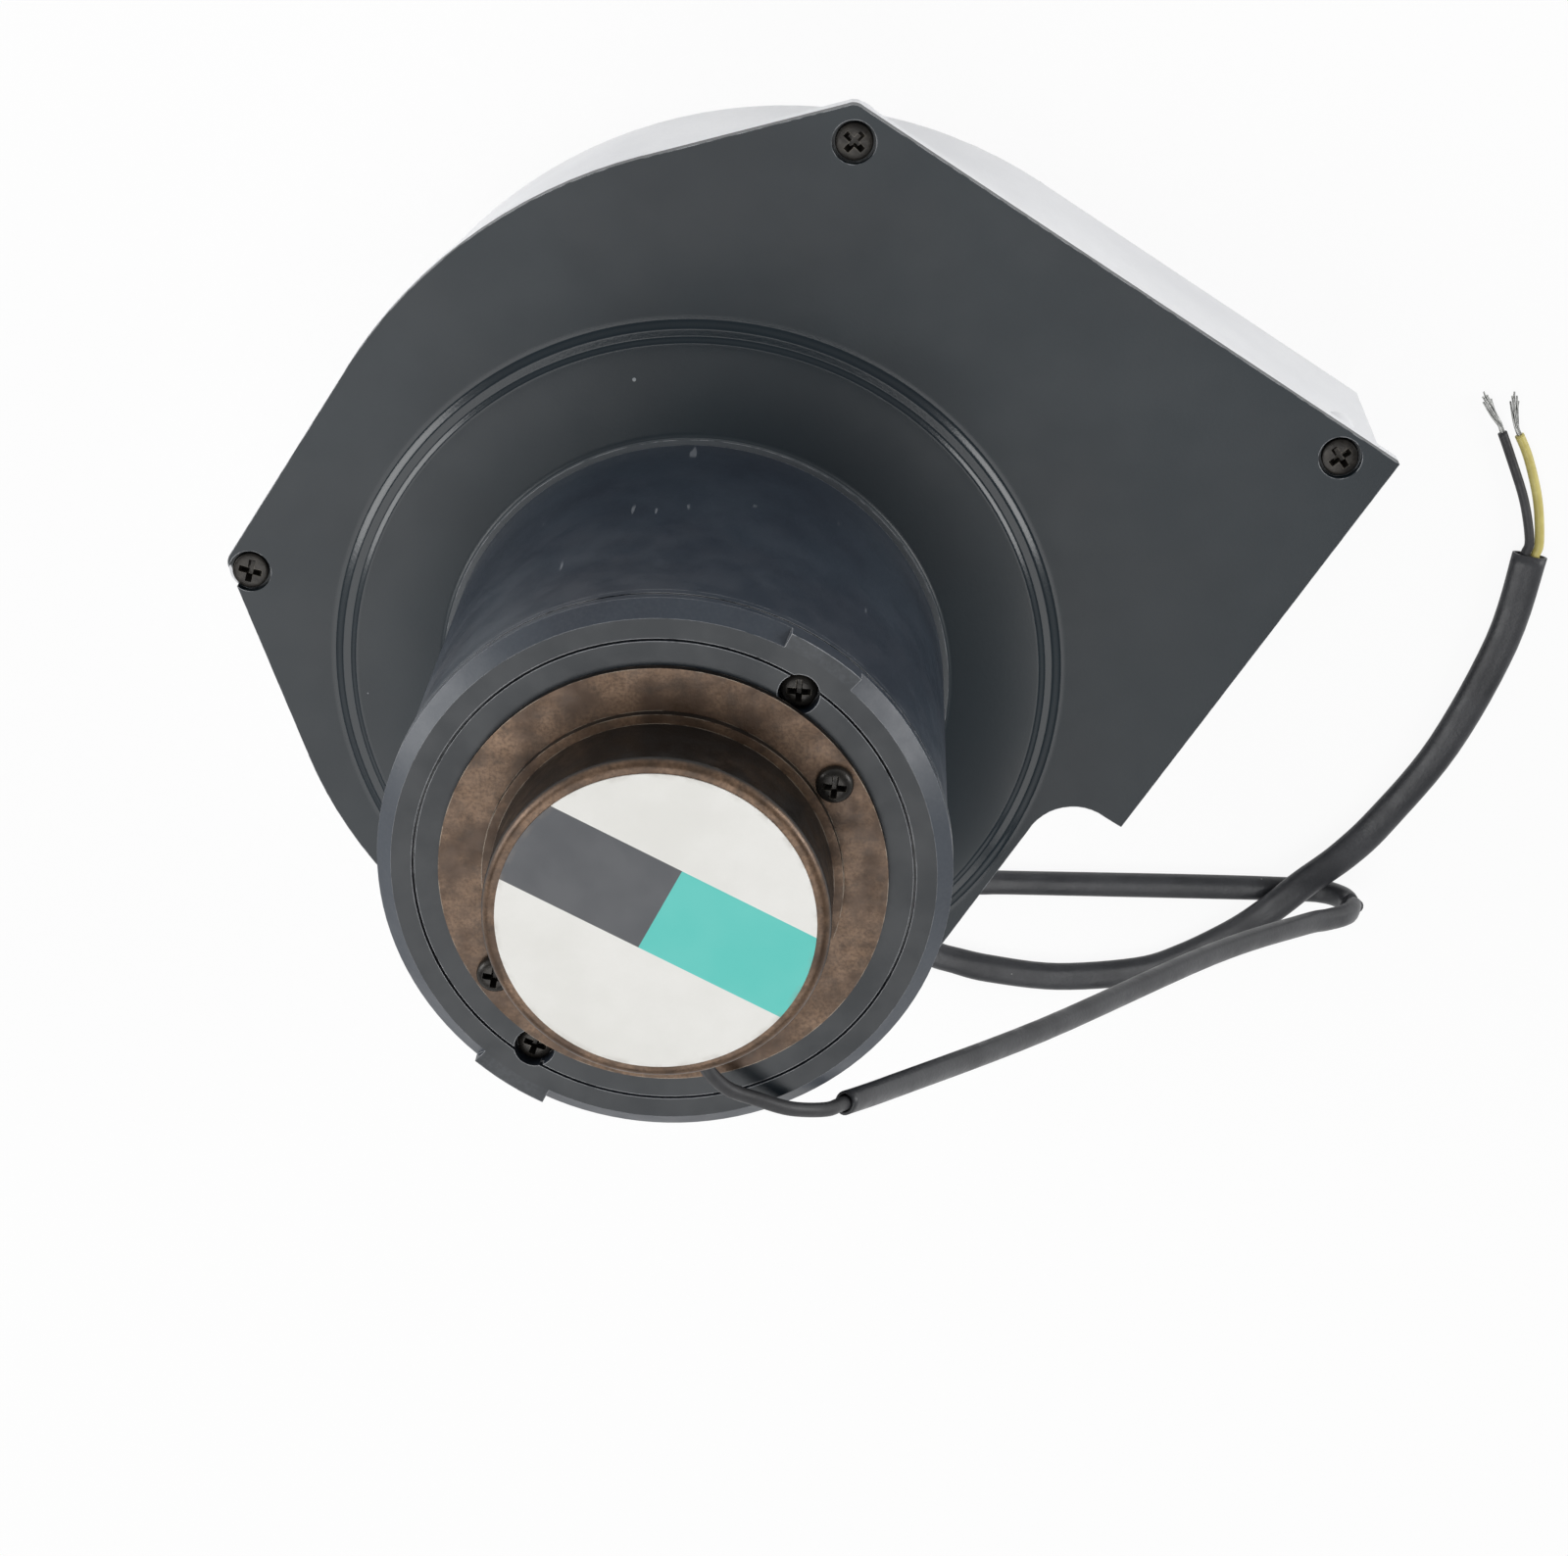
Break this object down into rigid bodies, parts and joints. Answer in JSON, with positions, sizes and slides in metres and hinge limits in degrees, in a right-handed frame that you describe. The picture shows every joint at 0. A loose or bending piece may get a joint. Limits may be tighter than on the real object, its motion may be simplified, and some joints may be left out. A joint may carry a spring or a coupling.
{
  "type": "centrifugal_blower",
  "caption": "Small high-pressure centrifugal blower: pale die-cast scroll, dark motor plate and motor with a plain round label, flat sleeved lead with bare wire ends",
  "frame": {"origin": "centre of the inlet face of the scroll, on the shaft's axis", "axes": "+Z along the shaft from the inlet to the motor, +X to the right and +Y up as the label is faced"},
  "size_m": [0.2255, 0.178, 0.1508],
  "materials": {
    "cast_pan": "pale grey satin paint on a casting",
    "dark_paint": "dark grey satin paint",
    "motor_paint": "dark blue-grey paint, worn bright along the rim",
    "black_screw": "blackened steel",
    "plain_sheet": "zinc-coated sheet",
    "rivet_metal": "plain rivets",
    "turned_alloy": "turned or cast alloy",
    "lamination": "stacked sheet steel",
    "winding": "varnished copper wire",
    "bright_steel": "ground steel",
    "ball_steel": "polished balls",
    "aged_steel": "brown oxidised steel",
    "label_face": "plain white label with two bands",
    "black_rubber": "matt rubber",
    "lead_jacket": "matt insulation",
    "sleeve_jacket": "matt sleeving",
    "yellow_jacket": "yellow insulation",
    "tinned_strand": "tinned copper strands"
  },
  "bodies": {
    "casing": {"scroll_pan": "cast_pan", "motor_plate": "dark_paint", "plate_screws": "black_screw", "inlet_ring": "plain_sheet", "inlet_rivets": "rivet_metal", "motor_case": "motor_paint", "motor_screws": "black_screw", "front_bracket": "motor_paint", "bracket_screws": "black_screw", "stator_core": "lamination", "stator_winding": "winding", "rear_bearing_outer": "bright_steel", "rear_bearing_balls": "ball_steel", "front_bearing_outer": "bright_steel", "front_bearing_balls": "ball_steel", "wave_washer": "bright_steel", "end_cover": "aged_steel", "end_cover_screws": "black_screw", "label_disc": "label_face", "lead_grommet": "black_rubber", "lead_cable": "lead_jacket", "cord_sleeve": "sleeve_jacket", "wire_black": "lead_jacket", "wire_yellow": "yellow_jacket", "wire_ends": "tinned_strand"},
    "rotor": {"impeller": "plain_sheet", "impeller_hub": "turned_alloy", "hub_rivets": "rivet_metal", "hub_set_screw": "black_screw", "rotor_core": "lamination", "rotor_cage": "turned_alloy", "shaft": "bright_steel", "rear_bearing_inner": "bright_steel", "front_bearing_inner": "bright_steel"}
  },
  "joints": [
    {"name": "rotor_spin", "type": "hinge", "parent": "casing", "child": "rotor", "pos_m": [0, 0, 0.0644], "axis": [0, 0, 1], "continuous": true}
  ]
}
